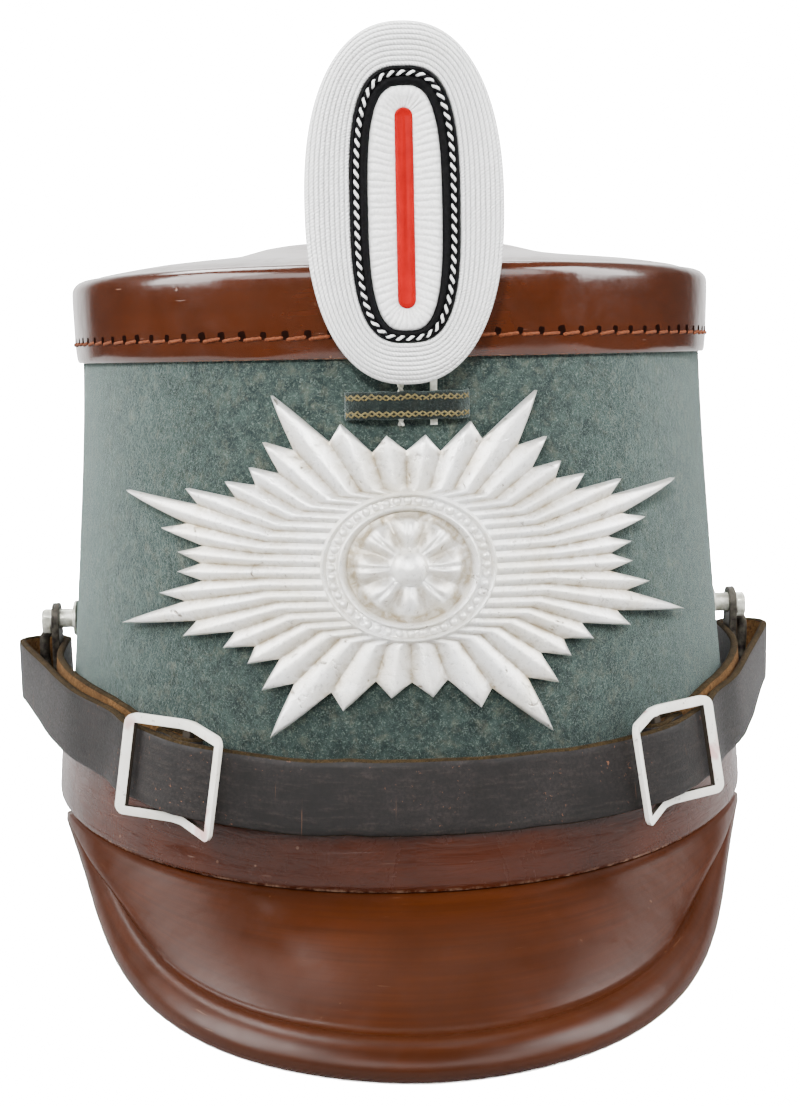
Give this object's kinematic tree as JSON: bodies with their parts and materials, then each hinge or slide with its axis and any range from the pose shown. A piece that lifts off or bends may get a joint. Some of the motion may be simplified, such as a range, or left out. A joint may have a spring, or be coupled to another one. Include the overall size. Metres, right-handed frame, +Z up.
{
  "type": "shako hat",
  "caption": "Stiff felt shako with a lacquered leather crown, base band and peaks, a buckled chin strap over the front, a cast rayed plate and an oval cockade.",
  "frame": {"origin": "middle of the hat's bounding box, on the surface that its peaks rest on", "axes": "+Z up, -Y towards the front peak, +X towards the wearer's left"},
  "size_m": [0.1982, 0.2785, 0.2006],
  "materials": {
    "felt": "matte wool felt, blue-green grey melange",
    "crown_leather": "glossy chestnut lacquered leather",
    "band_leather": "glossy dark red-brown lacquered leather",
    "peak_leather": "satin to glossy brown lacquered leather",
    "strap_leather": "worn dark grey-brown leather",
    "buckle_metal": "dull ivory white metal",
    "dark_metal": "dark browned metal",
    "post_metal": "dull light metal",
    "plate_metal": "matte cast aluminium",
    "silver_cord": "silver-white twisted cord",
    "black_cord": "black cord",
    "white_thread": "white thread",
    "red_lacquer": "glossy red"
  },
  "bodies": {
    "root": {"felt_body": "felt", "base_band": "band_leather", "crown_top": "crown_leather", "front_peak": "peak_leather", "rear_peak": "peak_leather", "chin_strap": "strap_leather", "strap_buckle_left": "buckle_metal", "strap_buckle_right": "buckle_metal", "side_post_left": "post_metal", "side_post_right": "post_metal", "strap_lug_left": "dark_metal", "strap_lug_right": "dark_metal", "front_plate": "plate_metal", "cockade_back": "post_metal", "cockade_rim": "silver_cord", "cockade_ring": "black_cord", "cockade_field": "white_thread", "cockade_bar": "red_lacquer", "cockade_prong": "post_metal", "prong_pocket": "felt"}
  },
  "joints": []
}
